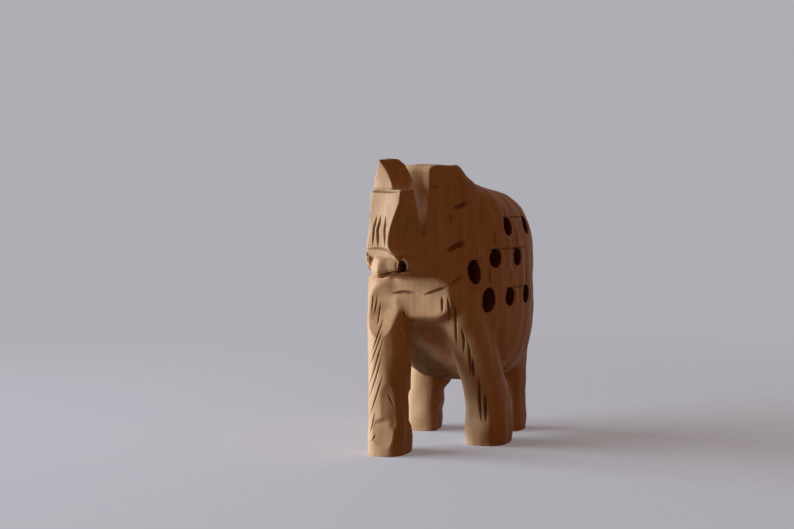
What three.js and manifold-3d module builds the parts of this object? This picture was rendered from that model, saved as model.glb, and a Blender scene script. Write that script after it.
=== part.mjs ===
// Elephant figurine carved from one block of pale hardwood. Its body is hollow and pierced,
// and a smaller elephant, carved free of the same block, stands loose inside it.
// Millimetres, +Z up. The figure faces -Y and its left side is +X. It stands on Z = 0.
import * as THREE from "three";
import { mergeVertices } from "three/addons/utils/BufferGeometryUtils.js";
import Module from "manifold-3d";

const wasm = await Module();
wasm.setup();

// Body
const bodyLength = 52; // chest to rump
const bodyWidth = 36;
const bodyPower = 3.4; // squareness of the cross-section, 2 is an ellipse
const backHeight = 66.6;
const napeRise = 1.8; // the nape stands this much above the back
const shoulderTop = 58; // the neck rises out of the shoulders here
const bellyHeight = 14.8;
const chestHeight = 33;
const chestPlace = -19.5; // where the chest starts along Y
const chestShift = -3.2; // the chest leans to the figure's right, as it turns that way

// Head, in its own frame: reach is measured forwards from the neck pivot
const headTurn = 14; // degrees to the figure's right
const neckPlace = -6.5; // the neck pivot along Y
const headHeight = 73;
const neckWidth = 21;
const crownReach = 4.6; // where the flat top of the head ends and slopes to the nape
const crownWidth = 16.6;
const foreheadReach = 15.4;
const foreheadWidth = 12.4;
const jawHeight = 42;
const jawRise = 2.4; // the jaw's edge climbs this much from the ears towards the mouth
const lipHeight = 47.7; // centre of the mouth and of the tusk sockets
const lipWidth = 8.6;
const lipPower = 1.3; // the lip is a blunt prow, between a diamond and an ellipse
const lipDip = 0.3; // it dips this much per length towards its front

// Trunk, raised straight up in front of the forehead
const trunkReach = 25.2;
const trunkWidth = 8.6;
const trunkThickness = 4.8;
const trunkLean = 0.6; // its root stands this much to the figure's right of its tip
const trunkRootReach = 26.3;
const trunkTipHeight = 74.5;
const notchHeight = 55; // bottom of the gap between trunk and forehead
const tipGrooveHeight = 66.5; // the cut below the open tip of the trunk
const tipLean = 3.4; // the long cut at the tip leans in by this much up to the top
const tipShortLean = 1.75; // and the short cut by this much
const tipCutIn = 4.5; // the long cut starts this far in from the left side
const scoopDepth = 2.6; // hollow carved into the trunk's left side
const scoopTop = 66.3;
const scoopMiddle = 54;
const scoopBottom = 49.6;

// Tusk sockets, drilled and left empty
const socketDiameter = 2.4;
const socketDepth = 6;
const socketSpacing = 9.2;
const socketShift = 0.1; // the pair sits this far to the left
const socketReach = 24;
const socketSpread = 0.3; // sideways per length
const bossDiameter = 3.8;

// Ears
const earSpan = 27; // across both ears
const earSlope = 0.12; // the ears lean in by this much per height
const earRearReach = 1.6;
const earTipReach = 9.6;
const earTipHeight = 42.2;
const earTopHeight = 66.5;

// Tail
const tailWidth = 3;
const tailProud = 1.2;

// Hollow and piercings
const sideWall = 5.2;
const endWall = 6.5;
const backWall = 6.1;
const floorHeight = 30.5; // the flat floor the small elephant stands on
const roofHeight = backHeight - backWall;
const hollowPower = 4;
const hollowStart = 0.163; // share of the body's length in front of the hollow
const holeDiameter = 4.9;
const foreHoleHeight = 6.5; // the two holes nearest the head are larger
const foreHoleShare = 0.74; // and narrower than tall
const shoulderHoleShare = 0.58; // the upper one is narrower still
const shoulderHoleLean = 14; // degrees, its top towards the head

// Small elephant
const looseGap = 0.3; // between its feet and the floor
const undercut = 4.2; // width of the cut that frees it from the walls
const babyHeadroom = 6.5; // clear height above it
const babyLegHeight = 7;
const babyWidthShare = 0.82; // a slim figure is left of the core

const ringPoints = 36;
const legPoints = 20;

// Stations of the body from chest to rump: share of the length, share of the half width,
// height of the back, height of the underside, sideways lean.
const bodyStations = [
  [0.0, 0.56, jawHeight + 1.5, chestHeight + 1.2, chestShift],
  [0.038, 0.6, jawHeight + 4, chestHeight, 0.9 * chestShift],
  [0.086, 0.7, shoulderTop - 3, chestHeight - 1, 0.8 * chestShift],
  [0.154, 0.79, shoulderTop, chestHeight - 4, 0.65 * chestShift],
  [0.298, 0.89, backHeight + napeRise, bellyHeight + 7, 0.25 * chestShift],
  [0.481, 0.96, backHeight + 1, bellyHeight + 1, 0],
  [0.692, 1.0, backHeight, bellyHeight, 0],
  [0.846, 0.92, backHeight - 1.8, bellyHeight + 2, 0],
  [0.933, 0.77, backHeight - 6, bellyHeight + 8, 0],
  [0.98, 0.52, backHeight - 13, bellyHeight + 16, 0],
  [1.0, 0.16, backHeight - 22, bellyHeight + 24, 0],
];

// Legs: foot, knee and shoulder or hip centres across and along. The right foreleg
// strides forwards and the left one trails, as in a slow walk.
const kneeHeight = 20;
const shoulderHeight = 41;
const strideShoulderHeight = 44.5; // the striding foreleg lifts its shoulder
const foreFootWidth = 9.8;
const foreFootLength = 14.6;
const trailFootWidth = 11.2;
const trailFootLength = 15;
const hindFootWidth = 9.8;
const hindFootLength = 12.4;
const footPower = 2.7; // squareness of the feet
const shoulderPower = 2; // and of the rounder legs where they join the body
const foreSpread = 1.15; // the shoulder is this much longer than the foot
const hindSpread = 1.4;
const fore = [foreFootWidth, foreFootLength, foreSpread];
const trail = [trailFootWidth, trailFootLength, foreSpread];
const hind = [hindFootWidth, hindFootLength, hindSpread];
const legs = [
  legStations([-7.1, -25], [-8.1, -22.8], [-11.6, -11.8], strideShoulderHeight, ...fore),
  legStations([11.3, 0.3], [9.9, -3], [5.3, -10.4], shoulderHeight, ...trail),
  legStations([-12.4, 18.2], [-11.5, 18.8], [-10.8, 19.8], shoulderHeight, ...hind),
  legStations([9, 25.2], [9.6, 24], [11.2, 21], shoulderHeight, ...hind),
];

// Rows of piercings: share of the hollow's height, first hole along Y, pitch, count.
const holeRows = [
  [0.267, 2.2, 10.6, 2],
  [0.612, -5, 11.6, 2],
  [0.883, 2, 13.6, 2],
];
// The larger holes nearest the head: along Y and share of the hollow's height.
const shoulderHole = [-12.7, 0.505]; // on the left side only
const elbowHole = [-7.5, 0.255];

function legStations(foot, knee, top, topHeight, width, length, spread) {
  const [w, l] = [width / 2, length / 2];
  return [
    [0, ...foot, 0.98 * w, 0.98 * l, footPower],
    [2, ...foot, 1.04 * w, 1.04 * l, footPower],
    [0.45 * kneeHeight, ...foot, 0.96 * w, 0.96 * l, footPower],
    [kneeHeight, ...knee, w, 1.06 * l, (footPower + shoulderPower) / 2],
    [topHeight, ...top, 1.05 * w, spread * l, shoulderPower],
    [topHeight + 3.5, 0.85 * top[0], top[1] + 1, 0.75 * w, 0.75 * spread * l, shoulderPower],
  ];
}

// Values of a station table at a place, on a smooth curve through its rows.
function readStations(rows, place) {
  let i = 0;
  while (i < rows.length - 2 && place > rows[i + 1][0]) i++;
  const [a, b] = [rows[i], rows[i + 1]];
  const before = rows[Math.max(0, i - 1)];
  const after = rows[Math.min(rows.length - 1, i + 2)];
  const span = b[0] - a[0];
  const t = (place - a[0]) / span;
  const blend = t * t * (3 - 2 * t);
  const [leave, arrive] = [t * (1 - t) ** 2, t * t * (t - 1)];
  return a.map((_, k) => {
    const slopeA = ((b[k] - before[k]) / (b[0] - before[0])) * span;
    const slopeB = ((after[k] - a[k]) / (after[0] - a[0])) * span;
    return a[k] + blend * (b[k] - a[k]) + leave * slopeA + arrive * slopeB;
  });
}

// A ring of points on a superellipse with half axes u and v.
function ring(centre, u, v, power, count) {
  const points = [];
  for (let j = 0; j < count; j++) {
    const angle = (2 * Math.PI * j) / count;
    const [c, s] = [Math.cos(angle), Math.sin(angle)];
    const a = Math.sign(c) * Math.abs(c) ** (2 / power);
    const b = Math.sign(s) * Math.abs(s) ** (2 / power);
    points.push(centre.clone().addScaledVector(u, a).addScaledVector(v, b));
  }
  return points;
}

// A closed skin over rings that follow each other along u x v, with a flat cap at each end.
function loft(rings) {
  const count = rings[0].length;
  const corners = rings.flat();
  const middles = [rings[0], rings.at(-1)].map((r) =>
    r.reduce((sum, p) => sum.add(p), new THREE.Vector3()).divideScalar(count),
  );
  const faces = [];
  const [first, last] = [corners.length, corners.length + 1];
  const top = (rings.length - 1) * count;
  for (let j = 0; j < count; j++) {
    const k = (j + 1) % count;
    for (let i = 0; i < rings.length - 1; i++) {
      const [a, b] = [i * count + j, i * count + k];
      faces.push(a, b, b + count, a, b + count, a + count);
    }
    faces.push(first, k, j, last, top + j, top + k);
  }
  return new THREE.BufferGeometry().setFromPoints([...corners, ...middles]).setIndex(faces);
}

function solidOf(geometry) {
  const bare = geometry.clone();
  bare.deleteAttribute("normal");
  bare.deleteAttribute("uv");
  const merged = mergeVertices(bare, 1e-4);
  return new wasm.Manifold(
    new wasm.Mesh({
      numProp: 3,
      vertProperties: merged.attributes.position.array,
      triVerts: new Uint32Array(merged.index.array),
    }),
  );
}

function geometryOf(solid) {
  const { vertProperties, triVerts } = solid.getMesh();
  const geometry = new THREE.BufferGeometry()
    .setAttribute("position", new THREE.BufferAttribute(vertProperties, 3))
    .setIndex(new THREE.BufferAttribute(triVerts, 1));
  geometry.computeVertexNormals();
  return geometry;
}

// Extrudes a side outline, drawn as Y to the right and Z up, evenly to both sides of X = 0.
function sideBoard(shape, width) {
  const settings = { depth: width, bevelEnabled: false, curveSegments: 6 };
  const board = new THREE.ExtrudeGeometry(shape, settings);
  const turn = new THREE.Matrix4().makeBasis(
    new THREE.Vector3(0, 1, 0),
    new THREE.Vector3(0, 0, 1),
    new THREE.Vector3(1, 0, 0),
  );
  return board.applyMatrix4(turn).translate(-width / 2, 0, 0);
}

// A round rod or drill from one point to another, with a taper if it starts wider.
function drill(from, to, diameter, sides, startDiameter = diameter) {
  const along = to.clone().sub(from);
  const rod = new THREE.CylinderGeometry(diameter / 2, startDiameter / 2, along.length(), sides);
  const turn = new THREE.Quaternion();
  turn.setFromUnitVectors(new THREE.Vector3(0, 1, 0), along.clone().normalize());
  return rod.applyQuaternion(turn).translate(...from.clone().lerp(to, 0.5).toArray());
}

// The head's own frame has its neck pivot at X = Y = 0 and looks along -Y.
const headFrame = new THREE.Matrix4()
  .makeRotationZ(THREE.MathUtils.degToRad(-headTurn))
  .setPosition(0, neckPlace, 0);

function bodyLoft(stations, power, count, points) {
  const rings = [];
  for (let i = 0; i <= count; i++) {
    const place = (1 - Math.cos((Math.PI * i) / count)) / 2; // closer together at the ends
    const [share, half, high, low, lean] = readStations(stations, place);
    const centre = new THREE.Vector3(lean, chestPlace + share * bodyLength, (high + low) / 2);
    const across = new THREE.Vector3(-half * (bodyWidth / 2), 0, 0);
    rings.push(ring(centre, across, new THREE.Vector3(0, 0, (high - low) / 2), power, points));
  }
  return loft(rings);
}

function legLoft(stations, count, points) {
  const rings = [];
  const height = stations.at(-1)[0];
  for (let i = 0; i <= count; i++) {
    const [z, x, y, halfWidth, halfLength, power] = readStations(stations, (height * i) / count);
    const across = new THREE.Vector3(halfWidth, 0, 0);
    const along = new THREE.Vector3(0, halfLength, 0);
    rings.push(ring(new THREE.Vector3(x, y, z), across, along, power, points));
  }
  return loft(rings);
}

// The outline of the head from above: a wedge that runs out into the trunk. It is widest
// across the ears and slimmer at the neck.
function headPlan(rearWidth, shoulderReach) {
  return mirrored([
    [rearWidth / 2, 8],
    [rearWidth / 2, -earRearReach],
    [rearWidth / 2 - 0.5, -shoulderReach],
    [foreheadWidth / 2, -foreheadReach],
    [trunkWidth / 2, -trunkReach],
    [trunkWidth / 2, -2 * trunkReach],
  ]);
}

// The outline of the head from the front: the crown is narrower than the ears.
function headFront() {
  return mirrored([
    [earSpan / 2, 0],
    [earSpan / 2, 0.75 * headHeight],
    [crownWidth / 2 + 2.6, backHeight + 0.5],
    [crownWidth / 2, headHeight],
    [crownWidth / 2, 1.5 * headHeight],
  ]);
}

function mirrored(half) {
  const round = [...half, ...half.toReversed().map(([x, y]) => [-x, y])];
  return new THREE.Shape(round.map((p) => new THREE.Vector2(...p)));
}

function headWedge(rearWidth, shoulderReach) {
  const outline = headPlan(rearWidth, shoulderReach);
  const plan = new THREE.ExtrudeGeometry(outline, { depth: 1.5 * headHeight, bevelEnabled: false });
  const front = new THREE.ExtrudeGeometry(headFront(), { depth: 3 * trunkReach, bevelEnabled: false });
  front.rotateX(Math.PI / 2).translate(0, trunkReach, 0);
  return solidOf(plan).intersect(solidOf(front));
}

// Head and trunk as sawn from the side: throat, mouth, trunk, gap, forehead, crown, nape.
function headSide() {
  const front = -trunkReach;
  const back = -trunkReach + trunkThickness;
  const brow = -foreheadReach;
  const side = new THREE.Shape();
  side.moveTo(8, jawHeight - 3);
  side.lineTo(-earTipReach, jawHeight);
  side.lineTo(brow + 2, jawHeight + jawRise);
  side.lineTo(front + 1, jawHeight + jawRise + 1);
  side.quadraticCurveTo(-trunkRootReach - 0.4, lipHeight + 1, -trunkRootReach, lipHeight + 5);
  side.quadraticCurveTo(front - 0.6, lipHeight + 12, front + 0.2, tipGrooveHeight);
  side.lineTo(front + 1.5, tipGrooveHeight + 0.6);
  side.quadraticCurveTo(front + 1.9, trunkTipHeight - 4, front + 0.6, trunkTipHeight);
  side.lineTo(back - 0.9, trunkTipHeight);
  side.lineTo(back - 0.2, trunkTipHeight - 1);
  side.quadraticCurveTo(back + 0.6, tipGrooveHeight + 4, back + 2, tipGrooveHeight - 6);
  side.quadraticCurveTo(back + 3, notchHeight + 2, (brow + back + 3) / 2, notchHeight);
  side.quadraticCurveTo(brow, notchHeight + 1, brow, notchHeight + 5);
  side.lineTo(brow + 0.4, headHeight - 1);
  side.lineTo(brow + 1.4, headHeight);
  side.lineTo(-crownReach, headHeight);
  side.lineTo(4, backHeight - 0.5);
  side.lineTo(8, backHeight - 4);
  return sideBoard(side, 1.2 * earSpan);
}

// Leans the trunk sideways: nothing moves at the tip, and the root moves the full lean.
function leanTrunk(geometry) {
  const place = geometry.attributes.position;
  for (let i = 0; i < place.count; i++) {
    const below = trunkTipHeight - place.getZ(i);
    const down = THREE.MathUtils.smoothstep(below, 0, trunkTipHeight - lipHeight);
    const out = THREE.MathUtils.smoothstep(-place.getY(i), foreheadReach, trunkReach - 1);
    place.setX(i, place.getX(i) - trunkLean * down * out);
  }
  return geometry;
}

// The hollow in the trunk's left side, deep at the front and running out at the cheek.
function sideScoop() {
  const edge = trunkWidth / 2;
  const deep = edge - scoopDepth;
  const scoop = new THREE.Shape();
  scoop.moveTo(edge, scoopTop);
  scoop.bezierCurveTo(edge - 0.3, scoopTop - 4, deep, scoopMiddle + 5, deep, scoopMiddle);
  scoop.bezierCurveTo(deep, scoopMiddle - 2, edge - 1, scoopBottom + 1, edge + 0.6, scoopBottom);
  scoop.lineTo(4 * edge, scoopBottom);
  scoop.lineTo(4 * edge, scoopTop);
  scoop.closePath();
  const settings = { depth: 2 * trunkReach, bevelEnabled: false, curveSegments: 8 };
  const board = new THREE.ExtrudeGeometry(scoop, settings);
  const runOut = 0.43;
  board.rotateX(Math.PI / 2).applyMatrix4(new THREE.Matrix4().makeShear(0, 0, runOut, 0, 0, 0));
  return solidOf(board.translate(runOut * trunkRootReach, 0, 0));
}

// A knife cut: takes off all that lies beyond a plane through a point.
function knifeCut(point, facing, size) {
  const block = new THREE.BoxGeometry(size, size, size).translate(0, 0, size / 2);
  const turn = new THREE.Quaternion();
  turn.setFromUnitVectors(new THREE.Vector3(0, 0, 1), facing.normalize());
  return solidOf(block.applyQuaternion(turn).translate(...point.toArray()));
}

// The tip is cut down to a point at its right front corner, by one long cut and one short.
function tipCuts() {
  const height = trunkTipHeight - tipGrooveHeight;
  const [low, high] = [0.5 * height, 0.5 * height];
  const long = new THREE.Vector3(trunkWidth / 2 - tipCutIn, -trunkReach, tipGrooveHeight + 0.4);
  const short = new THREE.Vector3(-trunkWidth / 2, -trunkReach, tipGrooveHeight + low);
  const size = 3 * trunkWidth + height;
  const aboveGroove = new THREE.Vector3(0, -trunkReach, tipGrooveHeight + 0.3);
  return knifeCut(long, new THREE.Vector3(height, -height, tipLean), size)
    .intersect(knifeCut(aboveGroove, new THREE.Vector3(0, 0, 1), size))
    .add(knifeCut(short, new THREE.Vector3(-high, 0, tipShortLean), size));
}

// A point on the axis of one tusk, which spreads outwards from the jaw.
function tuskPlace(hand, reach) {
  const out = socketSpacing / 2 - socketSpread * (socketReach - reach);
  return new THREE.Vector3(socketShift + hand * out, -reach, lipHeight);
}

function tuskBoss(hand) {
  const [root, mouth] = [tuskPlace(hand, foreheadReach), tuskPlace(hand, socketReach)];
  return solidOf(drill(root, mouth, bossDiameter, 20, 1.3 * bossDiameter));
}

function tuskSocket(hand) {
  const [bottom, outside] = [-socketDepth, 2].map((step) => tuskPlace(hand, socketReach + step));
  return solidOf(drill(bottom, outside, socketDiameter, 16));
}

// The lower lip, in rows of height above the tusk sockets and share of the full width.
function lowerLip() {
  const rows = [[-2.3, 0.45], [-1.5, 0.84], [0, 1], [1.7, 0.95], [2.7, 0.75]];
  const rings = rows.map(([rise, share]) => {
    const centre = new THREE.Vector3(-0.5 * trunkLean, -trunkRootReach + 1.4, lipHeight + rise);
    const across = new THREE.Vector3(0.5 * lipWidth * share, 0, 0);
    const back = new THREE.Vector3(0, 1, lipDip).multiplyScalar(0.45 * lipWidth * share);
    return ring(centre, across, back, lipPower, 20);
  });
  return solidOf(loft(rings));
}

// The ears: flaps that spread from the cheeks, with their tips pointing down and forwards.
function ears() {
  const [front, rear] = [-foreheadReach, -earRearReach];
  const [low, high] = [earTipHeight, earTopHeight];
  const flap = new THREE.Shape();
  flap.moveTo(rear - 2, high);
  flap.bezierCurveTo(rear + 1.4, high - 5, rear + 1, low + 12, rear - 0.8, low + 6.4);
  flap.lineTo(-earTipReach, low);
  flap.lineTo(front, low + 4);
  flap.lineTo(front, high - 8);
  flap.quadraticCurveTo(front + 4, high - 1, rear - 2, high);
  const reach = earRearReach + 2;
  let pair = solidOf(sideBoard(flap, 1.3 * earSpan)).intersect(headWedge(earSpan, reach));
  const [run, out] = [foreheadReach - reach, (earSpan - 1 - foreheadWidth) / 2];
  for (const hand of [1, -1]) {
    const edge = new THREE.Vector3(hand * (earSpan / 2 - 0.5), -reach, low + 6);
    pair = pair.subtract(knifeCut(edge, new THREE.Vector3(hand * run, -out, earSlope * run), 3 * earSpan));
  }
  return pair;
}

function head() {
  let solid = solidOf(headSide()).intersect(headWedge(neckWidth, crownReach)).add(ears());
  solid = solid.subtract(sideScoop()).subtract(tipCuts());
  solid = solidOf(leanTrunk(geometryOf(solid)));
  solid = solid.add(lowerLip());
  for (const hand of [1, -1]) solid = solid.add(tuskBoss(hand)).subtract(tuskSocket(hand));
  return solidOf(geometryOf(solid).applyMatrix4(headFrame));
}

function tail() {
  const end = chestPlace + bodyLength;
  const rise = backHeight - 12;
  const side = new THREE.Shape();
  side.moveTo(end - 8, rise);
  side.quadraticCurveTo(end + tailProud, rise - 3, end + tailProud, rise - 14);
  side.lineTo(end + tailProud - 1, bellyHeight + 14);
  side.lineTo(end - 4, bellyHeight + 12);
  side.lineTo(end - 8, bellyHeight + 20);
  side.closePath();
  return solidOf(sideBoard(side, tailWidth));
}

// The hollow keeps its distance from the body's sides and ends and has a flat floor.
function hollow() {
  const [from, to] = [hollowStart, 1 - endWall / bodyLength];
  const rings = [];
  const count = 12;
  for (let i = 0; i <= count; i++) {
    const share = from + ((to - from) * i) / count;
    const [, half, high, , lean] = readStations(bodyStations, share);
    const closing = Math.sqrt(Math.max(0.3, 1 - (2 * i / count - 1) ** 6));
    const halfWidth = (half * (bodyWidth / 2) - sideWall) * closing;
    const top = Math.min(roofHeight, high - endWall);
    const bottom = floorHeight - 6; // below the floor, where the cut is still full width
    const centre = new THREE.Vector3(lean, chestPlace + share * bodyLength, (top + bottom) / 2);
    const up = new THREE.Vector3(0, 0, (top - bottom) / 2);
    rings.push(ring(centre, new THREE.Vector3(-halfWidth, 0, 0), up, hollowPower, 28));
  }
  const floor = new THREE.Vector3(0, 0, floorHeight);
  return solidOf(loft(rings)).intersect(knifeCut(floor, new THREE.Vector3(0, 0, 1), 2 * bodyLength));
}

// A hole cut through the side wall, at a place along Y and a share of the hollow's height.
function piercing(from, y, share, height, widthShare = 1, lean = 0) {
  const z = floorHeight + share * (roofHeight - floorHeight);
  const hole = drill(new THREE.Vector3(from, 0, 0), new THREE.Vector3(bodyWidth, 0, 0), height, 16);
  hole.scale(1, widthShare, 1).rotateX(THREE.MathUtils.degToRad(lean));
  return solidOf(hole.translate(0, y, z));
}

function* piercings() {
  yield piercing(0, ...shoulderHole, foreHoleHeight, shoulderHoleShare, shoulderHoleLean);
  yield piercing(-bodyWidth, ...elbowHole, foreHoleHeight, foreHoleShare);
  for (const [share, first, pitch, count] of holeRows) {
    for (let i = 0; i < count; i++) yield piercing(-bodyWidth, first + pitch * i, share, holeDiameter);
  }
}

function motherElephant() {
  let solid = solidOf(bodyLoft(bodyStations, bodyPower, 22, ringPoints)).add(head()).add(tail());
  for (const stations of legs) solid = solid.add(solidOf(legLoft(stations, 12, legPoints)));
  solid = solid.subtract(hollow());
  for (const hole of piercings()) solid = solid.subtract(hole);
  return solid;
}

// The small elephant, from the core that the undercut leaves standing.
function babyElephant() {
  const foot = floorHeight + looseGap;
  const top = roofHeight - babyHeadroom;
  const from = chestPlace + hollowStart * bodyLength + undercut + 2;
  const length = chestPlace + bodyLength - endWall - undercut - from;
  const half = (0.5 * bodyWidth - sideWall - undercut) * babyWidthShare;
  const belly = foot + babyLegHeight;
  const stations = [
    [0, 0.45, top - 6, belly + 5],
    [0.2, 0.9, top - 2.5, belly + 1],
    [0.5, 1, top - 2, belly - 1],
    [0.85, 0.85, top - 4, belly],
    [1, 0.4, top - 9, belly + 5],
  ];
  const bodyFrom = from + 0.3 * length;
  const rings = [];
  const count = 10;
  for (let i = 0; i <= count; i++) {
    const [share, width, high, low] = readStations(stations, i / count);
    const centre = new THREE.Vector3(0, bodyFrom + share * 0.7 * length, (high + low) / 2);
    const across = new THREE.Vector3(-half * width, 0, 0);
    rings.push(ring(centre, across, new THREE.Vector3(0, 0, (high - low) / 2), 2.4, 20));
  }
  let solid = solidOf(loft(rings));
  const legHalf = 0.36 * half;
  for (const hand of [1, -1]) {
    for (const share of [0.44, 0.86]) {
      const x = hand * 0.55 * half;
      const y = from + share * length;
      const rows = [
        [foot, x, y, legHalf, 1.15 * legHalf],
        [belly - 1, x, y, legHalf, 1.15 * legHalf],
        [belly + 2, 0.95 * x, y, legHalf, 1.3 * legHalf],
        [belly + 5, 0.7 * x, y, 0.6 * legHalf, legHalf],
      ];
      const legRings = rows.map(([z, cx, cy, w, l]) =>
        ring(new THREE.Vector3(cx, cy, z), new THREE.Vector3(w, 0, 0), new THREE.Vector3(0, l, 0), 2.6, 14),
      );
      solid = solid.add(solidOf(loft(legRings)));
    }
  }
  const side = new THREE.Shape();
  const face = from + 0.14 * length;
  side.moveTo(from + 0.45 * length, belly + 3);
  side.lineTo(face + 2, belly + 2.5);
  side.lineTo(face - 0.5, belly - 2);
  side.quadraticCurveTo(from, foot + 1.5, from, foot + 3.5);
  side.quadraticCurveTo(from + 0.4, belly + 3, face - 2, top - 4);
  side.quadraticCurveTo(face - 0.5, top, face + 3, top);
  side.lineTo(from + 0.45 * length, top - 3);
  side.closePath();
  const plan = mirrored([
    [0.5 * half, from + 0.45 * length],
    [0.62 * half, face + 3],
    [0.42 * half, face - 1],
    [0.24 * half, from],
  ]);
  const wedge = new THREE.ExtrudeGeometry(plan, { depth: 2 * roofHeight, bevelEnabled: false });
  solid = solid.add(solidOf(sideBoard(side, 2 * half)).intersect(solidOf(wedge)));
  for (const hand of [1, -1]) {
    const flap = new THREE.SphereGeometry(1, 12, 8).scale(0.22 * half, 0.42 * half, 0.7 * half);
    solid = solid.add(solidOf(flap.translate(hand * 0.62 * half, face + 0.55 * half, top - 0.95 * half)));
  }
  return solid;
}

const wood = new THREE.MeshStandardMaterial({ color: 0xc08a58, roughness: 0.62, metalness: 0 });
const innerWood = new THREE.MeshStandardMaterial({ color: 0xb98455, roughness: 0.7, metalness: 0 });

function named(name, solid, material) {
  const mesh = new THREE.Mesh(geometryOf(solid), material);
  mesh.name = name;
  return mesh;
}

const figurine = new THREE.Group();
figurine.add(named("mother_elephant", motherElephant(), wood));
figurine.add(named("baby_elephant", babyElephant(), innerWood));

// The origin is in the middle of the figure, on the ground.
const middle = new THREE.Box3().setFromObject(figurine).getCenter(new THREE.Vector3());
for (const piece of figurine.children) piece.geometry.translate(-middle.x, -middle.y, 0);

export default figurine;
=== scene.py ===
"""A walking elephant carved from one block of pale wood, with a pierced hollow body
and a smaller elephant, cut free of the same block, standing loose inside it."""
import math

import bmesh
import bpy
import numpy as np
from mathutils import Euler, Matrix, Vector
from mathutils.bvhtree import BVHTree


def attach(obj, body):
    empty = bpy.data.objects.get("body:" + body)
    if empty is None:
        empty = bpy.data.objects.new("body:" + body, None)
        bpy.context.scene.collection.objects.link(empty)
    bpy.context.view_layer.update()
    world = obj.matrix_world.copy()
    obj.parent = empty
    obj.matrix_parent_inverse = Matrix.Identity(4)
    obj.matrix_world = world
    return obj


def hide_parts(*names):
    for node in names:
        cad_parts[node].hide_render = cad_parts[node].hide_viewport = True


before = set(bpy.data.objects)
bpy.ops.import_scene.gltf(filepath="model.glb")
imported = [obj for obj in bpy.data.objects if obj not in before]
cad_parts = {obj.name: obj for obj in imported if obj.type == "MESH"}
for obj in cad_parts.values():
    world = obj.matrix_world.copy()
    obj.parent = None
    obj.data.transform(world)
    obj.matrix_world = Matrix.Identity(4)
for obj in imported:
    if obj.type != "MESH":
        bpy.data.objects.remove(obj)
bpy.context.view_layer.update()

# The carving is worked in millimetres, the stage round it is in metres
MM = 0.001
ENDLESS = 1e9           # farther than anything here
TINY = 1e-9

VOXEL = 0.25            # grain of the carved skin
WELD = 0.001            # points nearer than this are one
HEAD_PIVOT = np.array([-0.02, -6.18])
HEAD_TURN = math.radians(14)
TURN_COS, TURN_SIN = math.cos(HEAD_TURN), math.sin(HEAD_TURN)
HOLLOW_LOW, HOLLOW_HIGH, HOLLOW_FRONT = 30.5, 60.5, -10.8
HOLLOW_EDGE = 1         # how far its colour takes to fade in

# Piercings: place along Y, height, half width, half height
FORE_HOLES = [(-12.38, 45.65, 1.9, 3.25), (-7.18, 38.15, 2.4, 3.25)]
ROW_HEIGHTS = [38.51, 48.86, 56.99]
ROW_STARTS = [2.52, -4.68, 2.32]
ROW_PITCHES = [10.6, 11.6, 13.6]
ROW_RADIUS = 2.45
HOLES_PER_ROW = 2
ROW_HOLES = [(y + pitch * i, z, ROW_RADIUS, ROW_RADIUS)
             for y, z, pitch in zip(ROW_STARTS, ROW_HEIGHTS, ROW_PITCHES)
             for i in range(HOLES_PER_ROW)]
HOLES = FORE_HOLES + ROW_HOLES


def smoothstep(value, low, high):
    t = np.clip((value - low) / (high - low), 0, 1)
    return t * t * (3 - 2 * t)


def head_frame(points):
    """Points as seen from the head: left, forwards and up."""
    dx, dy = points[:, 0] - HEAD_PIVOT[0], points[:, 1] - HEAD_PIVOT[1]
    left = TURN_COS * dx - TURN_SIN * dy
    forward = -TURN_SIN * dx - TURN_COS * dy
    return np.stack([left, forward, points[:, 2]], 1)


def on_head(left, forward, up):
    x = HEAD_PIVOT[0] + TURN_COS * left - TURN_SIN * forward
    y = HEAD_PIVOT[1] - TURN_SIN * left - TURN_COS * forward
    return Vector((x, y, up))


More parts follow.
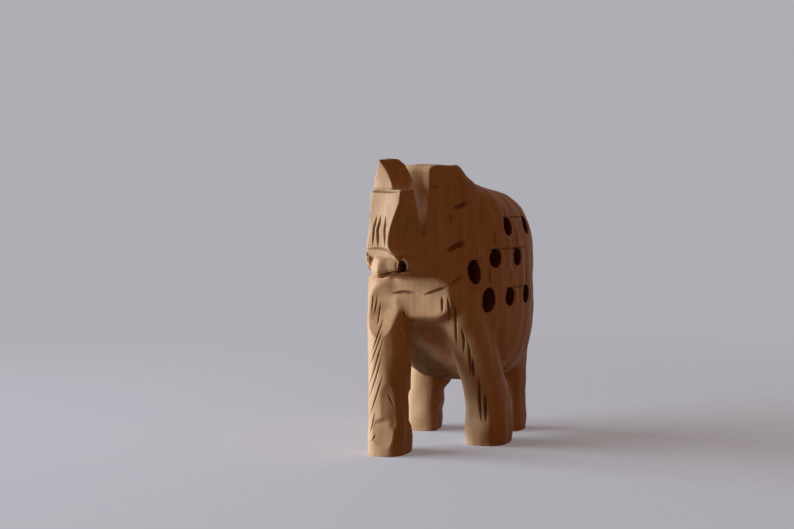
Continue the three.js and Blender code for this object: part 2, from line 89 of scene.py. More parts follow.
class Skin:
    """A piece's mesh as arrays in millimetres, to be worked like wood."""

    def __init__(self, node, name):
        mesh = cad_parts[node].data.copy()
        self.piece = bpy.data.objects.new(name, mesh)
        mesh.name = name
        mesh.materials.clear()
        bpy.context.scene.collection.objects.link(self.piece)
        self.edit(lambda work: bmesh.ops.remove_doubles(work, verts=work.verts, dist=WELD * MM))
        mesh.remesh_voxel_size = VOXEL * MM
        bpy.context.view_layer.objects.active = self.piece
        bpy.ops.object.voxel_remesh()
        self.read()

    def edit(self, change):
        work = bmesh.new()
        work.from_mesh(self.piece.data)
        change(work)
        work.to_mesh(self.piece.data)
        work.free()

    def read(self):
        mesh = self.piece.data
        found = np.zeros(len(mesh.vertices) * 3, np.float32)
        mesh.vertices.foreach_get("co", found)
        self.points = found.reshape(-1, 3).astype(float) / MM
        edges = np.zeros(len(mesh.edges) * 2, np.int32)
        mesh.edges.foreach_get("vertices", edges)
        self.edges = edges.reshape(-1, 2)
        self.valence = np.bincount(edges, minlength=len(self.points))

    def write(self):
        mesh = self.piece.data
        mesh.vertices.foreach_set("co", (self.points * MM).astype(np.float32).ravel())
        mesh.update()

    def normals(self):
        self.write()
        found = np.zeros(len(self.points) * 3, np.float32)
        self.piece.data.vertex_normals.foreach_get("vector", found)
        return found.reshape(-1, 3).astype(float)

    def around(self, values):
        """The mean of each point's neighbours."""
        a, b = self.edges.T
        count = len(values)
        total = np.empty_like(values)
        for k in range(values.shape[1]):
            column = values[:, k]
            total[:, k] = np.bincount(a, column[b], count) + np.bincount(b, column[a], count)
        return total / self.valence[:, None]

    def smooth(self, weight, rounds):
        for _ in range(rounds):
            self.points += 0.5 * weight[:, None] * (self.around(self.points) - self.points)

    def refine(self, wanted):
        """Splits the edges whose ends are both wanted."""
        self.write()
        chosen = np.nonzero(wanted[self.edges].all(1))[0]

        def split(work):
            work.edges.ensure_lookup_table()
            edges = [work.edges[i] for i in chosen]
            bmesh.ops.subdivide_edges(work, edges=edges, cuts=1, use_grid_fill=True)

        self.edit(split)
        self.read()

    def tree(self):
        self.write()
        mesh = self.piece.data
        verts = [Vector(p) for p in self.points]
        return BVHTree.FromPolygons(verts, [tuple(f.vertices) for f in mesh.polygons])


# Views to draw on: each turns a place across and a height into the start and direction of a
# line that meets the carving there
FORWARD = on_head(0, 1, 0) - on_head(0, 0, 0)
LEFTWARD = on_head(1, 0, 0) - on_head(0, 0, 0)
FAR = 80
QUARTER = math.radians(20)


def from_left(across, height):
    return Vector((FAR, across, height)), Vector((-1, 0, 0))


def from_right(across, height):
    return Vector((-FAR, across, height)), Vector((1, 0, 0))


def from_back(across, height):
    return Vector((across, FAR, height)), Vector((0, -1, 0))


def from_quarter(across, height):
    """From the front, a little to the figure's left."""
    c, s = math.cos(QUARTER), math.sin(QUARTER)
    return Vector((c * across + s * FAR, s * across - c * FAR, height)), Vector((-s, c, 0))


def facing_head(across, height):
    return on_head(across, FAR, height), -FORWARD


def beside_head(across, height):
    return on_head(FAR, across, height), -LEFTWARD


def beside_head_right(across, height):
    return on_head(-FAR, across, height), LEFTWARD


class Stroke:
    """One knife stroke: a groove with a V section that fades out at both ends."""

    STEP = 0.4              # between the points that it is laid as
    TAPER, EASE = 0.3, 0.7  # share of the stroke that each end fades over, and how
    END_WIDTH = 0.35        # share of the width that is left at an end

    def __init__(self, view, width, depth, places):
        self.view, self.width, self.depth, self.places = view, width, depth, places

    def lay(self, tree):
        """Lays the stroke on the wood as a row of points."""
        path = []
        for (a0, z0), (a1, z1) in zip(self.places, self.places[1:]):
            count = max(2, int(math.hypot(a1 - a0, z1 - z0) / self.STEP))
            for i in range(count):
                path.append((a0 + (a1 - a0) * i / count, z0 + (z1 - z0) * i / count))
        path.append(self.places[-1])
        hits = [tree.ray_cast(*self.view(a, z))[0] for a, z in path]
        self.points = np.array([hit for hit in hits if hit is not None])

    def reach(self, points):
        """Distance of each point from the stroke, and how far along it lies, from 0 to 1."""
        near = np.full(len(points), ENDLESS)
        along = np.zeros(len(points))
        spans = len(self.points) - 1
        for i in range(spans):
            start, span = self.points[i], self.points[i + 1] - self.points[i]
            t = np.clip((points - start) @ span / max(span @ span, TINY), 0, 1)
            d = np.linalg.norm(points - start - t[:, None] * span, axis=1)
            closer = d < near
            near[closer] = d[closer]
            along[closer] = (i + t[closer]) / spans
        return near, along

    def cut(self, points):
        """How deep the stroke goes at each point."""
        near, along = self.reach(points)
        fade = np.clip(np.minimum(along, 1 - along) / self.TAPER, 0, 1) ** self.EASE
        half = 0.5 * self.width * (self.END_WIDTH + (1 - self.END_WIDTH) * fade)
        return self.depth * fade * np.clip(1 - near / half, 0, 1)


FLAT_SHARE = 0.75       # share of a shaving's reach that is pared right down
HELD_SHARE = 0.5        # share of a shift's reach that moves the whole way


def shave(skin, point, facing, radius):
    """Pares the skin near a point down to a plane, as one flat cut of the knife."""
    facing = np.array(facing) / np.linalg.norm(facing)
    offset = skin.points - point
    proud = np.clip(offset @ facing, 0, None)
    near = 1 - smoothstep(np.linalg.norm(offset, axis=1), FLAT_SHARE * radius, radius)
    skin.points -= (proud * near)[:, None] * facing


def shift_skin(skin, centre, radius, way):
    """Shifts the skin round a point, and less towards the radius."""
    near = np.linalg.norm(skin.points - np.array(centre), axis=1)
    share = 1 - smoothstep(near, HELD_SHARE * radius, radius)
    skin.points += share[:, None] * np.array(way)


def push(skin, centre, radius, shift):
    """Shifts the skin round a point on the head, given as the head sees it."""
    shift_skin(skin, on_head(*centre), radius, on_head(*shift) - on_head(0, 0, 0))


SOCKET_RIM, SOCKET_DEPTH = (1, 2.6), (1.5, 3)   # where the widening of a socket ends
SOCKET_CORE = 0.3                               # keeps its axis from dividing by nothing


def ream(skin, centre, growth):
    """Widens the mouth of a socket on the head."""
    left, forward, up = (head_frame(skin.points) - centre).T
    across = np.hypot(left, up)
    share = 1 - smoothstep(across, *SOCKET_RIM)
    share *= 1 - smoothstep(np.abs(forward), *SOCKET_DEPTH)
    span = np.maximum(across, SOCKET_CORE)
    out = np.stack([TURN_COS * (left / span), -TURN_SIN * (left / span), up / span], 1)
    skin.points += growth * share[:, None] * out


# The trunk's end: how far its back leans in from the left and backwards, by height
TIP_LEVELS = [61, 63, 65, 67.2, 69, 72, 74.5]
TIP_INWARD = [0, 0.5, 0.7, 1.2, 1.4, 1.2, 0.7]
TIP_BACKWARD = [0, 0, 0, 0.8, 2.3, 2.6, 2.8]
TIP_FRONT, TIP_DEPTH = 24.3, 4
TRUNK_BACK = (16.5, 18.2)   # what lies behind is the forehead
TIP_SIDE = (-3.5, 0.5)      # the left side alone leans in


def lean_tip(skin):
    """Leans the back of the trunk's end, so that its left side turns away from the front."""
    left, forward, up = head_frame(skin.points).T
    share = np.clip((TIP_FRONT - forward) / TIP_DEPTH, 0, 1) * smoothstep(forward, *TRUNK_BACK)
    inward = share * smoothstep(left, *TIP_SIDE) * np.interp(up, TIP_LEVELS, TIP_INWARD)
    backward = share * np.interp(up, TIP_LEVELS, TIP_BACKWARD)
    skin.points -= inward[:, None] * np.array(LEFTWARD) + backward[:, None] * np.array(FORWARD)


REFINE_MARGINS = (0.5, 0.2)     # the skin is refined twice, so far beside each stroke
NARROW = 2                      # narrower strokes than this get painted shade in their grooves


def inside_box(points, around, margin):
    low, high = around.min(0) - margin, around.max(0) + margin
    return np.nonzero(((points > low) & (points < high)).all(1))[0]


def refine_along(skin, strokes):
    for margin in REFINE_MARGINS:
        wanted = np.zeros(len(skin.points), bool)
        for stroke in strokes:
            chosen = inside_box(skin.points, stroke.points, stroke.width + margin)
            near, _ = stroke.reach(skin.points[chosen])
            wanted[chosen[near < 0.5 * stroke.width + margin]] = True
        skin.refine(wanted)


def cut_strokes(skin, strokes):
    """Cuts the strokes and returns how deep each point lies in a narrow one, where shade is painted.
    """
    tree = skin.tree()
    for stroke in strokes:
        stroke.lay(tree)
    refine_along(skin, strokes)
    normals = skin.normals()
    sink = np.zeros(len(skin.points))
    groove_shade = np.zeros(len(skin.points))
    for stroke in strokes:
        chosen = inside_box(skin.points, stroke.points, stroke.width)
        cut = stroke.cut(skin.points[chosen])
        sink[chosen] = np.maximum(sink[chosen], cut)
        if stroke.width < NARROW:
            groove_shade[chosen] = np.maximum(groove_shade[chosen], cut)
    skin.points -= sink[:, None] * normals
    return groove_shade


def off_axis(points, hole):
    """Distance from a piercing's axis, where its wall is at 1."""
    y, z, half_width, half_height = hole
    return np.hypot((points[:, 1] - y) / half_width, (points[:, 2] - z) / half_height)


def near_holes(points):
    """Distance from the walls of the piercings, about."""
    best = np.full(len(points), ENDLESS)
    for hole in HOLES:
        half_width = hole[2]
        best = np.minimum(best, np.abs(off_axis(points, hole) - 1) * half_width)
    return best


WALL_REACH, WALL_INSIDE = 1.15, 6   # how far past 1 a wall counts, and how near the middle
WALL_FACING = (0.45, 0.75)          # skin that faces sideways more than this isn't a wall


def hole_walls(points, normals):
    """1 on the walls of the piercings, where shade is painted. The foremost one is only on the left.
    """
    across = np.abs(normals[:, 0])
    best = np.zeros(len(points))
    for hole in HOLES:
        side = points[:, 0] > 0 if hole == FORE_HOLES[0] else True
        walls = (off_axis(points, hole) < WALL_REACH) * (np.abs(points[:, 0]) > WALL_INSIDE)
        best = np.maximum(best, walls * side)
    return best * (1 - smoothstep(across, *WALL_FACING))


SWELL_HEIGHT, SWELL_SIZE, SWELL_SEED, SWELL_WAVES = 0.1, 6, 3, 14
ALONG_GRAIN = (1, 1, 0.6)       # the swell is longer up the grain
SWELL_SPREAD = (0.7, 1.4)


def unevenness(points):
    """A gentle random swell, as a knife leaves it, with a height of about 1."""
    draw = np.random.default_rng(SWELL_SEED)
    total = np.zeros(len(points))
    for _ in range(SWELL_WAVES):
        way = draw.normal(size=3) * ALONG_GRAIN
        way *= 2 * math.pi / (SWELL_SIZE * draw.uniform(*SWELL_SPREAD) * np.linalg.norm(way))
        total += np.sin(points @ way + draw.uniform(0, 2 * math.pi))
    return total / math.sqrt(SWELL_WAVES / 2)


# Strokes have a view, a width, a depth and the places that they pass in that view.
# On the trunk, across the foot of its tip, and over the mouth
TRUNK_STROKES = [
    Stroke(facing_head, 0.8, 0.45, [(-2.3, 60.6), (-3.0, 57.5), (-3.1, 52.6)]),
    Stroke(facing_head, 0.9, 0.55, [(-1.1, 60.6), (-1.9, 56.8), (-1.6, 52.3)]),
    Stroke(facing_head, 0.8, 0.45, [(0.4, 60.4), (0.1, 56.8), (0.5, 52.4)]),
    Stroke(facing_head, 1.5, 1.1, [(-5.6, 66.6), (-3, 66.6), (4.4, 66.5)]),
    Stroke(facing_head, 1.0, 0.35, [(-4.6, 51.9), (-1, 52.2), (1.2, 51.8), (3.4, 50.6)]),
]
# Between the collar and the chest, and under the mouth
COLLAR_STROKES = [
    Stroke(from_quarter, 1.2, 0.6, [(-14.6, 40.2), (-11.4, 40.6), (-8.2, 40.3)]),
    Stroke(from_quarter, 1.2, 0.6, [(-6.6, 39.9), (-3.6, 41), (-0.4, 42.3)]),
    Stroke(from_quarter, 1.0, 0.5, [(-18.5, 45.4), (-16.2, 45.8), (-13.5, 46.5), (-9.3, 46.7)]),
]
# Long and slanting down the striding foreleg, and a few on its inner side
RIGHT_LEG_STROKES = [
    Stroke(from_quarter, 0.6, 0.32, places) for places in (
        [(-19.4, 39.9), (-19.9, 35.6)],
        [(-18.4, 39.6), (-19.1, 34.8)],
        [(-17.4, 38.2), (-18.4, 32.2)],
        [(-16.7, 34.2), (-19.7, 25.9)],
        [(-16.9, 31.3), (-20.3, 22.5)],
        [(-16.9, 28.8), (-20.6, 17.1)],
        [(-17.1, 24.8), (-20.6, 14)],
        [(-16.8, 20.6), (-20.3, 10)],
        [(-18.9, 11.2), (-20.2, 5.5)],
        [(-18.6, 5.6), (-19.9, 3.5)],
        [(-13, 31.9), (-12, 28.2)],
        [(-11.8, 36.2), (-11.2, 33.6)],
        [(-15.7, 15.7), (-14.2, 12.6)],
    )
]
# Along the front edge of the trailing foreleg
LEFT_LEG_STROKES = [
    Stroke(from_quarter, 1.0, 0.5, places) for places in (
        [(-2, 39.9), (-1.9, 35.4)],
        [(-0.6, 39.7), (-0.2, 36.7), (0, 33)],
        [(0.2, 39.4), (1.4, 36.2), (1.7, 29.8), (2, 26.1)],
        [(3.1, 31.4), (3.8, 28.2), (3.6, 24.5)],
        [(4.4, 28.7), (5.1, 26.1), (5.6, 18.4)],
        [(6, 23.7), (6.3, 17.8)],
        [(7.6, 18.6), (8, 11.7), (8.6, 6.1)],
        [(9.4, 13.9), (9.7, 6.1)],
    )
]
# Hairs of the tail's tuft
TAIL_STROKES = [
    Stroke(from_back, 0.6, 0.3, places) for places in (
        [(-0.8, 36), (-0.7, 30)],
        [(0, 37), (0.1, 29.5)],
        [(0.8, 36), (0.7, 30)],
    )
]
# The dip of the left eye, the crease behind the jaw, and two cuts on each cheek
UPPER_CHEEK = [(8.1, 61.9), (6, 62.5), (3.9, 63.7)]
LOWER_CHEEK = [(10.8, 51), (8.3, 52.4), (4.9, 53.4)]
CHEEK_STROKES = [
    Stroke(from_quarter, 1.5, 0.3, [(-4.6, 67.5), (-2.9, 67.2)]),
    Stroke(from_quarter, 1.6, 0.35, [(-0.4, 42.2), (1.8, 43.8), (3.9, 45)]),
    Stroke(beside_head, 1.1, 0.35, [(8.4, 60.8), (9, 57.6)]),
    Stroke(beside_head, 1.6, 0.6, UPPER_CHEEK),
    Stroke(beside_head, 1.9, 0.8, LOWER_CHEEK),
    Stroke(beside_head_right, 1.6, 0.6, UPPER_CHEEK),
    Stroke(beside_head_right, 1.9, 0.8, LOWER_CHEEK),
]
# Scored lines between the holes
SCORE_WIDTH, SCORE_DEPTH = 0.8, 0.35
SCORE_BEFORE, SCORE_AFTER = 5.5, (22, 20, 16)   # how far a row's line runs from its first hole
SCORE_BELOW_TOP = 0.2                           # of the row's holes
SCORE_UP, SCORE_FOOT, SCORE_HIGHEST = 5.6, 0.4, 62


def lattice_strokes(view):
    """Scored lines of the lattice: along each row, and up from each hole."""
    lines = []
    for start, z, reach in zip(ROW_STARTS, ROW_HEIGHTS, SCORE_AFTER):
        line = z + ROW_RADIUS - SCORE_BELOW_TOP
        lines.append([(start - SCORE_BEFORE, line), (start + reach, line)])
    for y, z, _, half_height in ROW_HOLES + FORE_HOLES[1:]:
        top = z + half_height
        lines.append([(y, top - SCORE_FOOT), (y, min(top + SCORE_UP, SCORE_HIGHEST))])
    return [Stroke(view, SCORE_WIDTH, SCORE_DEPTH, line) for line in lines]


# Flat cuts on the striding foreleg: a point, the way the cut faces and its reach
SHAVINGS = [
    ((-6.6, -31, 13), (0.42, -0.9, 0.1), 7.5),
    ((-6.2, -31.4, 5), (0.1, -0.97, 0.15), 5),
    ((-9.5, -22.0, 35.7), (-0.1, -0.81, 0.57), 7),
    ((-8.5, -23, 33.1), (0, -0.72, 0.69), 6.5),
    ((-3.8, -20.4, 11.3), (0.94, 0.342, 0), 5),
]
# The top of that leg, which is smoothed into the chest after the cuts
SHOULDER, SHOULDER_REACH = np.array([-9.5, -21, 39]), (5.5, 9)
SHOULDER_WEIGHT, SHOULDER_ROUNDS = 0.9, 70
# Shifts of the right hind leg's inner side: a point, a reach and a way
SHIFTS = [
    ((-7, 20, 17), 6.5, (1.6, 0.6, 0)),
    ((-7.5, 20.2, 2.5), 6, (-0.9, -0.3, 0)),
]
# Places round the mouth as the head sees them, left, forwards and up, with their shifts
LEFT_SOCKET, RIGHT_SOCKET, LIP_END = (4.7, 24, 47.7), (-4.5, 24, 47.7), (2.4, 25.2, 48)
MOUTH_SHIFTS = [
    (RIGHT_SOCKET, 3.4, (0, 1.6, 1.8)),
    (LIP_END, 2.6, (1.1, 0.2, 0)),
    (LEFT_SOCKET, 2.6, (-0.4, 0.9, 0.1)),
]
SOCKET_GROWTH = 0.3

# Smoothing rounds off the flanks. The limits between which it sets in, and how far it is kept
# from each part
NECK, THROAT = (0, 3), (41, 44)
BROW_LEVEL, BROW_FRONT, BROW_WORN = (60, 66), (16.5, 18), 0.15
LEG_TOP = (24, 34)
CHEST_BACK, CHEST_TOP = (-18.5, -15), (42, 44)
TAIL_FRONT, TAIL_SIDE = (26, 28), (1.8, 2.8)
RIM_WIDTH, SOLE_HEIGHT = (0.3, 0.9), (0.1, 0.8)
HEAD_KEPT, RIM_KEPT, LEG_KEPT, CHEST_KEPT, TAIL_KEPT = 0.97, 0.92, 0.75, 0.75, 0.9
FLANK_ROUNDS, CALF_ROUNDS = 110, 16


def kept_crisp(points, rim, sole):
    """How far each point is kept from the smoothing, from 0 to 1."""
    x, y, z = points.T
    forward = head_frame(points)[:, 1]
    head = smoothstep(forward, *NECK) * smoothstep(z, *THROAT)
    brow = smoothstep(z, *BROW_LEVEL) * (1 - smoothstep(forward, *BROW_FRONT))
    head *= 1 - BROW_WORN * brow
    leg = 1 - smoothstep(z, *LEG_TOP)
    chest = (1 - smoothstep(y, *CHEST_BACK)) * (1 - smoothstep(z, *CHEST_TOP))
    tail = smoothstep(y, *TAIL_FRONT) * (1 - smoothstep(np.abs(x), *TAIL_SIDE))
    kept = [HEAD_KEPT * head, RIM_KEPT * rim, LEG_KEPT * leg, CHEST_KEPT * chest]
    return np.maximum.reduce(kept + [TAIL_KEPT * tail, sole])


def shape_foreleg(skin):
    for point, facing, radius in SHAVINGS:
        shave(skin, point, facing, radius)
    off_shoulder = np.linalg.norm(skin.points - SHOULDER, axis=1)
    weight = SHOULDER_WEIGHT * (1 - smoothstep(off_shoulder, *SHOULDER_REACH))
    skin.smooth(weight, SHOULDER_ROUNDS)


def shape_head(skin):
    lean_tip(skin)
    for centre, radius, shift in MOUTH_SHIFTS:
        push(skin, centre, radius, shift)
    ream(skin, LEFT_SOCKET, SOCKET_GROWTH)


def carve_mother():
    skin = Skin("mother_elephant", "carved_elephant")
    rim = 1 - smoothstep(near_holes(skin.points), *RIM_WIDTH)
    sole = 1 - smoothstep(skin.points[:, 2], *SOLE_HEIGHT)
    skin.smooth(1 - kept_crisp(skin.points, rim, sole), FLANK_ROUNDS)
    shape_foreleg(skin)
    for point, radius, way in SHIFTS:
        shift_skin(skin, point, radius, way)
    shape_head(skin)
    swell = SWELL_HEIGHT * unevenness(skin.points) * (1 - sole) * (1 - rim)
    skin.points += swell[:, None] * skin.normals()
    strokes = TRUNK_STROKES + COLLAR_STROKES + CHEEK_STROKES + RIGHT_LEG_STROKES + LEFT_LEG_STROKES
    strokes += TAIL_STROKES + lattice_strokes(from_left) + lattice_strokes(from_right)
    groove_shade = cut_strokes(skin, strokes)
    mark_recesses(skin, groove_shade, painted_arch_and_leg_shade(skin))
    skin.write()
    return skin


def carve_calf():
    skin = Skin("baby_elephant", "carved_calf")
    skin.smooth(np.ones(len(skin.points)), CALF_ROUNDS)
    clean = np.zeros(len(skin.points))
    mark_recesses(skin, clean, clean)
    skin.write()
    return skin


# Limits of the painted shade in the arch between the forelegs, and on the insides of the legs
ARCH_FRONT, ARCH_BACK, ARCH_TOP = (-18, -15), (10, 16), (31.5, 33.5)
ARCH_RIGHT, ARCH_LEFT, ARCH_FOOT = (-13, -10), (4, 6), (11, 15)
ARCH_FACING = (-0.1, 0.45)
ARCH_SLANT, ARCH_LIT = 1.1, (17.5, 24.5)      # the painted shade fades out above a slanting line
LEFT_FACING, RIGHT_FACING = (0, 0.45), (0.3, 0.75)
INSIDE_FOOT, INSIDE_TOP = (-2, 6), (20, 28)
# How strongly shade is painted on the arch and on the insides of the left and right legs
ARCH_SHADE, LEFT_SHADE, RIGHT_SHADE = 0.95, 0.6, 0.2


def painted_arch_and_leg_shade(skin):
    """Painted shade on the arch between the forelegs and on the insides of the legs, from 0 to 1."""
    x, y, z = skin.points.T
    facing = skin.normals()[:, 0]
    arch = smoothstep(y, *ARCH_FRONT) * (1 - smoothstep(y, *ARCH_BACK))
    arch *= smoothstep(x, *ARCH_RIGHT) * (1 - smoothstep(x, *ARCH_LEFT))
    arch *= smoothstep(z, *ARCH_FOOT) * (1 - smoothstep(z, *ARCH_TOP))
    arch *= 1 - smoothstep(facing, *ARCH_FACING)
    arch *= 1 - smoothstep(z + ARCH_SLANT * x, *ARCH_LIT)
    off_left = LEFT_SHADE * smoothstep(-facing, *LEFT_FACING)
    off_right = RIGHT_SHADE * smoothstep(facing, *RIGHT_FACING)
    painted_shade = np.where(x > 0, off_left, off_right)
    painted_shade *= smoothstep(z, *INSIDE_FOOT) * (1 - smoothstep(z, *INSIDE_TOP))
    return np.maximum(ARCH_SHADE * arch, painted_shade)


RECESS_ROUNDS = 24      # of smoothing, for the surface that a recess lies below
INWARD = (0, 4)         # place times facing, where skin begins to face the middle


def mark_recesses(skin, cuts, rough):
    """Notes how deep each point lies in a cut or below the surface around it, and where shade is
    painted: the hollow, the walls of the piercings and the given arch and leg insides."""
    shape = skin.points.copy()
    normals = skin.normals()
    skin.smooth(np.ones(len(shape)), RECESS_ROUNDS)
    depth = ((skin.points - shape) * normals).sum(1)
    skin.points = shape
    # Shade is painted on the hollow's inward faces, the piercing walls, the arch and the leg
    # insides, which also lose their gloss
    hollow = smoothstep(shape[:, 2], HOLLOW_LOW - HOLLOW_EDGE, HOLLOW_LOW)
    hollow *= 1 - smoothstep(shape[:, 2], HOLLOW_HIGH, HOLLOW_HIGH + HOLLOW_EDGE)
    hollow *= smoothstep(shape[:, 1], HOLLOW_FRONT - HOLLOW_EDGE, HOLLOW_FRONT)
    inward = smoothstep(-(shape[:, 0] * normals[:, 0]), *INWARD) * hollow
    inward = np.maximum.reduce([inward, hole_walls(shape, normals), rough])
    for name, values in (("recess", np.maximum(depth, cuts)), ("inside", inward)):
        layer = skin.piece.data.attributes.new(name, "FLOAT", "POINT")
        layer.data.foreach_set("value", values.astype(np.float32))


def srgb(r, g, b):
    def linear(v):
        v /= 255
        return v / 12.92 if v <= 0.04045 else ((v + 0.055) / 1.055) ** 2.4
    return (linear(r), linear(g), linear(b), 1)


class Nodes:
    """Short calls for building a material's nodes."""

    def __init__(self, tree):
        self.tree = tree

    def add(self, kind, inputs=None, **settings):
        node = self.tree.nodes.new("ShaderNode" + kind)
        for key, value in settings.items():
            setattr(node, key, value)
        for key, value in (inputs or {}).items():
            if isinstance(value, bpy.types.NodeSocket):
                self.tree.links.new(value, node.inputs[key])
            else:
                node.inputs[key].default_value = value
        return node

    def math(self, operation, a, b):
        return self.add("Math", {0: a, 1: b}, operation=operation).outputs[0]

    def ramp(self, value, limits, most):
        """Runs from 0 to the most between the limits."""
        low, high = limits
        node = self.add("MapRange", {"Value": value, "From Min": low, "From Max": high})
        return self.math("MULTIPLY", node.outputs[0], most)

    def mix(self, factor, a, b):
        node = self.add("Mix", {0: factor, 6: a, 7: b}, data_type="RGBA")
        return node.outputs[2]

    def noise(self, place, stretch, detail=2.0, roughness=0.5):
        """Noise with so many waves per millimetre across and along the grain."""
        across, along = stretch
        scale = (across / MM, across / MM, along / MM)
        spread = self.add("VectorMath", {0: place, 1: scale}, operation="MULTIPLY").outputs[0]
        settings = {"Vector": spread, "Scale": 1.0, "Detail": detail, "Roughness": roughness}
        return self.add("TexNoise", settings).outputs["Fac"]

    def attribute(self, name):
        return self.add("Attribute", attribute_name=name).outputs["Fac"]


# DEEP_WOOD darkens the pores, and is also the painted shade in recesses and cuts
PALE_WOOD, DARK_WOOD, DEEP_WOOD = srgb(206, 158, 110), srgb(178, 118, 66), srgb(84, 40, 14)
# A slightly darker copy of the wood for the calf in the hollow, as painted shade
PALE_SHADED_INNER, DARK_SHADED_INNER = srgb(196, 146, 100), srgb(168, 110, 62)
# The dark brown painted as shade in the hollow, the piercings, the arch and the leg insides
PAINTED_SHADE_BROWN = srgb(70, 27, 4)
# Growth rings
RINGS_PER_METRE, RING_WAY, RING_WARP = 330, (1, 0.35, 0.06), 5.0
# Waves per millimetre, across the grain and along it
WARP_WAVES, BLOTCH_WAVES = (0.05, 0.012), (0.09, 0.05)
STREAK_WAVES, STREAK_DETAIL, STREAK_ROUGHNESS = (0.9, 0.03), 4.0, 0.6
PORE_WAVES, PORE_LIMITS = (5.0, 0.22), (0.64, 0.74)
# Where each mark sets in, and the most that it darkens or lightens the wood. The sunk and
# inner marks are painted shade; the worn mark lightens raised edges as wear.
TONE_LIMITS, RING_LIMITS = (0.3, 0.7), (0.55, 1.0)
SUNK_LIMITS, WORN_LIMITS = (0.04, 0.35), (-0.03, -0.25)
STREAK_SHARE, BLOTCH_SHARE, RING_SHARE, PORE_SHARE = 0.45, 0.35, 0.09, 0.3
SUNK_SHARE, WORN_SHARE, INNER_SHARE = 0.6, 0.35, 0.9
# The surface
ROUGHNESS, STREAK_ON_ROUGHNESS, GLOSS = 0.42, 0.2, 0.1
STREAK_HEIGHT, PORE_HEIGHT = 0.5, 1.5
BUMP_STRENGTH, BUMP_DEPTH = 0.35, 0.12


def growth_rings(nodes, place):
    """Rings across the block, each darker towards its end, that wander a little."""
    warp = nodes.noise(place, WARP_WAVES)
    across = nodes.add("VectorMath", {0: place, 1: RING_WAY}, operation="DOT_PRODUCT")
    count = nodes.math("MULTIPLY", across.outputs["Value"], RINGS_PER_METRE)
    count = nodes.math("ADD", count, nodes.math("MULTIPLY", warp, RING_WARP))
    return nodes.math("FRACT", count, 0.0)


def grain_tone(nodes, place, streaks):
    """How dark the streaks, blotches and rings make the wood."""
    blotch = nodes.noise(place, BLOTCH_WAVES)
    tone = nodes.math("ADD", nodes.ramp(streaks, TONE_LIMITS, STREAK_SHARE),
                      nodes.ramp(blotch, TONE_LIMITS, BLOTCH_SHARE))
    return nodes.math("ADD", tone, nodes.ramp(growth_rings(nodes, place), RING_LIMITS, RING_SHARE))


def wood(name, pale, dark, deep):
    """Pale close-grained wood with its grain upright: faint growth rings, fine streaks and pores,
    painted shade in cuts, recesses, the hollow, the piercings and the leg insides, worn edges
    lighter."""
    material = bpy.data.materials.new(name)
    material.use_nodes = True
    shader = material.node_tree.nodes["Principled BSDF"]
    nodes = Nodes(material.node_tree)
    place = nodes.add("TexCoord").outputs["Object"]
    streaks = nodes.noise(place, STREAK_WAVES, STREAK_DETAIL, STREAK_ROUGHNESS)
    pore = nodes.ramp(nodes.noise(place, PORE_WAVES), PORE_LIMITS, PORE_SHARE)
    recess = nodes.attribute("recess")
    # Painted shade, from the inside attribute
    painted_shade = nodes.math("MULTIPLY", nodes.attribute("inside"), INNER_SHARE)
    colour = nodes.mix(grain_tone(nodes, place, streaks), pale, dark)
    colour = nodes.mix(pore, colour, deep)
    # Painted shade in recesses and in the grooves of narrow cuts
    colour = nodes.mix(nodes.ramp(recess, SUNK_LIMITS, SUNK_SHARE), colour, deep)
    colour = nodes.mix(nodes.ramp(recess, WORN_LIMITS, WORN_SHARE), colour, pale)
    colour = nodes.mix(painted_shade, colour, PAINTED_SHADE_BROWN)
    rough = nodes.math("ADD", nodes.math("MULTIPLY", streaks, STREAK_ON_ROUGHNESS), ROUGHNESS)
    gloss = nodes.math("SUBTRACT", GLOSS, nodes.math("MULTIPLY", painted_shade, GLOSS))
    raised = nodes.math("MULTIPLY", streaks, STREAK_HEIGHT)
    height = nodes.math("SUBTRACT", raised, nodes.math("MULTIPLY", pore, PORE_HEIGHT))
    relief = {"Strength": BUMP_STRENGTH, "Distance": BUMP_DEPTH * MM, "Height": height}
    links = material.node_tree.links
    links.new(colour, shader.inputs["Base Color"])
    links.new(rough, shader.inputs["Roughness"])
    links.new(gloss, shader.inputs["Specular IOR Level"])
    links.new(nodes.add("Bump", relief).outputs["Normal"], shader.inputs["Normal"])
    return material


def dress(skin, body, node, material):
    piece = skin.piece
    piece.data.materials.append(material)
    piece.data.polygons.foreach_set("use_smooth", np.ones(len(piece.data.polygons), bool))
    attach(piece, body)
    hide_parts(node)


# The stage, in metres
BACKDROP = srgb(174, 174, 180)
ROOM = (0.17, 0.076, 0.026, 1)
TABLE_BOUNCE, TABLE_SEEN, TABLE_ROUGHNESS = srgb(120, 90, 60), srgb(230, 215, 202), 0.85
TABLE_HALF = 6.0
FADE_REACH, FADE_START = 0.32, 0.3      # where the table has become the backdrop, and its share here
WINDOW_PLACE, WINDOW_TARGET, WINDOW_SIZE = (-0.91, -0.34, 0.26), (0, 0, 0.04), (1.1, 0.55)
WINDOW_POWER, WINDOW_COLOUR = 23.5, (0.76, 1.04, 1.44)
CAMERA_PLACE = (0.14418, -0.43448, 0.0713)
CAMERA_DOWN, CAMERA_TURN = 3.07, 20.04  # degrees
SENSOR_MM, LENS_MM = 36, 78.48
CLIP_NEAR, CLIP_FAR = 0.01, 100


def camera_sees(nodes):
    """1 for rays that show the background itself or its reflection."""
    path = nodes.add("LightPath")
    seen = nodes.math("MAXIMUM", path.outputs["Is Camera Ray"], path.outputs["Is Glossy Ray"])
    return nodes.math("MAXIMUM", seen, path.outputs["Is Transmission Ray"])


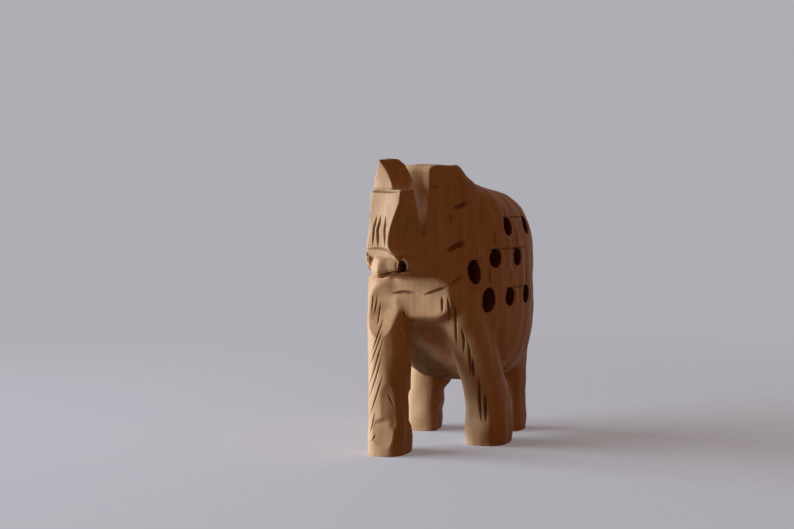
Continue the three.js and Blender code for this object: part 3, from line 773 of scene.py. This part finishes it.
def table_material():
    """A pale matt table that turns into the backdrop behind the object. It gives back little
    light of its own, so that the shaded wood keeps its colour."""
    material = bpy.data.materials.new("pale table")
    material.use_nodes = True
    nodes = Nodes(material.node_tree)
    shader = material.node_tree.nodes["Principled BSDF"]
    seen = camera_sees(nodes)
    colour = nodes.mix(seen, TABLE_BOUNCE, TABLE_SEEN)
    material.node_tree.links.new(colour, shader.inputs["Base Color"])
    shader.inputs["Roughness"].default_value = TABLE_ROUGHNESS
    place = nodes.add("TexCoord").outputs["Object"]
    distance = nodes.add("VectorMath", {0: place}, operation="LENGTH").outputs["Value"]
    limits = {"Value": distance, "From Max": FADE_REACH, "To Min": FADE_START}
    far = nodes.math("MULTIPLY", nodes.add("MapRange", limits).outputs[0], seen)
    glow = nodes.add("Emission", {"Color": BACKDROP})
    blend = nodes.add("MixShader", {0: far, 1: shader.outputs[0], 2: glow.outputs[0]})
    output = material.node_tree.nodes["Material Output"]
    material.node_tree.links.new(blend.outputs[0], output.inputs["Surface"])
    return material


def make_table():
    mesh = bpy.data.meshes.new("table")
    half = TABLE_HALF
    corners = [(-half, -half, 0), (half, -half, 0), (half, half, 0), (-half, half, 0)]
    mesh.from_pydata(corners, [], [(0, 1, 2, 3)])
    table = bpy.data.objects.new("table", mesh)
    bpy.context.scene.collection.objects.link(table)
    mesh.materials.append(table_material())


def make_world():
    """A dim warm room for the light, and the plain backdrop for the eye."""
    world = bpy.data.worlds.new("studio")
    bpy.context.scene.world = world
    world.use_nodes = True
    nodes = Nodes(world.node_tree)
    room = world.node_tree.nodes["Background"]
    room.inputs["Color"].default_value = ROOM
    backdrop = nodes.add("Background", {"Color": BACKDROP})
    sides = {0: camera_sees(nodes), 1: room.outputs[0], 2: backdrop.outputs[0]}
    blend = nodes.add("MixShader", sides)
    output = world.node_tree.nodes["World Output"]
    world.node_tree.links.new(blend.outputs[0], output.inputs["Surface"])


def make_window():
    light = bpy.data.lights.new("window", "AREA")
    light.shape = "RECTANGLE"
    light.size, light.size_y = WINDOW_SIZE
    light.energy = WINDOW_POWER
    light.color = WINDOW_COLOUR
    lamp = bpy.data.objects.new("window", light)
    lamp.location = WINDOW_PLACE
    lamp.rotation_mode = "QUATERNION"
    aim = Vector(WINDOW_TARGET) - Vector(WINDOW_PLACE)
    lamp.rotation_quaternion = aim.to_track_quat("-Z", "Y")
    bpy.context.scene.collection.objects.link(lamp)


def make_camera():
    data = bpy.data.cameras.new("camera")
    data.sensor_width = SENSOR_MM
    data.lens = LENS_MM
    data.clip_start, data.clip_end = CLIP_NEAR, CLIP_FAR
    camera = bpy.data.objects.new("camera", data)
    camera.location = CAMERA_PLACE
    camera.rotation_euler = Euler((math.radians(90 - CAMERA_DOWN), 0, math.radians(CAMERA_TURN)))
    bpy.context.scene.collection.objects.link(camera)
    bpy.context.scene.camera = camera


outer_wood = wood("carved wood", PALE_WOOD, DARK_WOOD, DEEP_WOOD)
inner_wood = wood("inner wood", PALE_SHADED_INNER, DARK_SHADED_INNER, DEEP_WOOD)
dress(carve_mother(), "mother", "mother_elephant", outer_wood)
dress(carve_calf(), "baby", "baby_elephant", inner_wood)
make_table()
make_world()
make_window()
make_camera()
bpy.context.scene.view_settings.view_transform = "Standard"
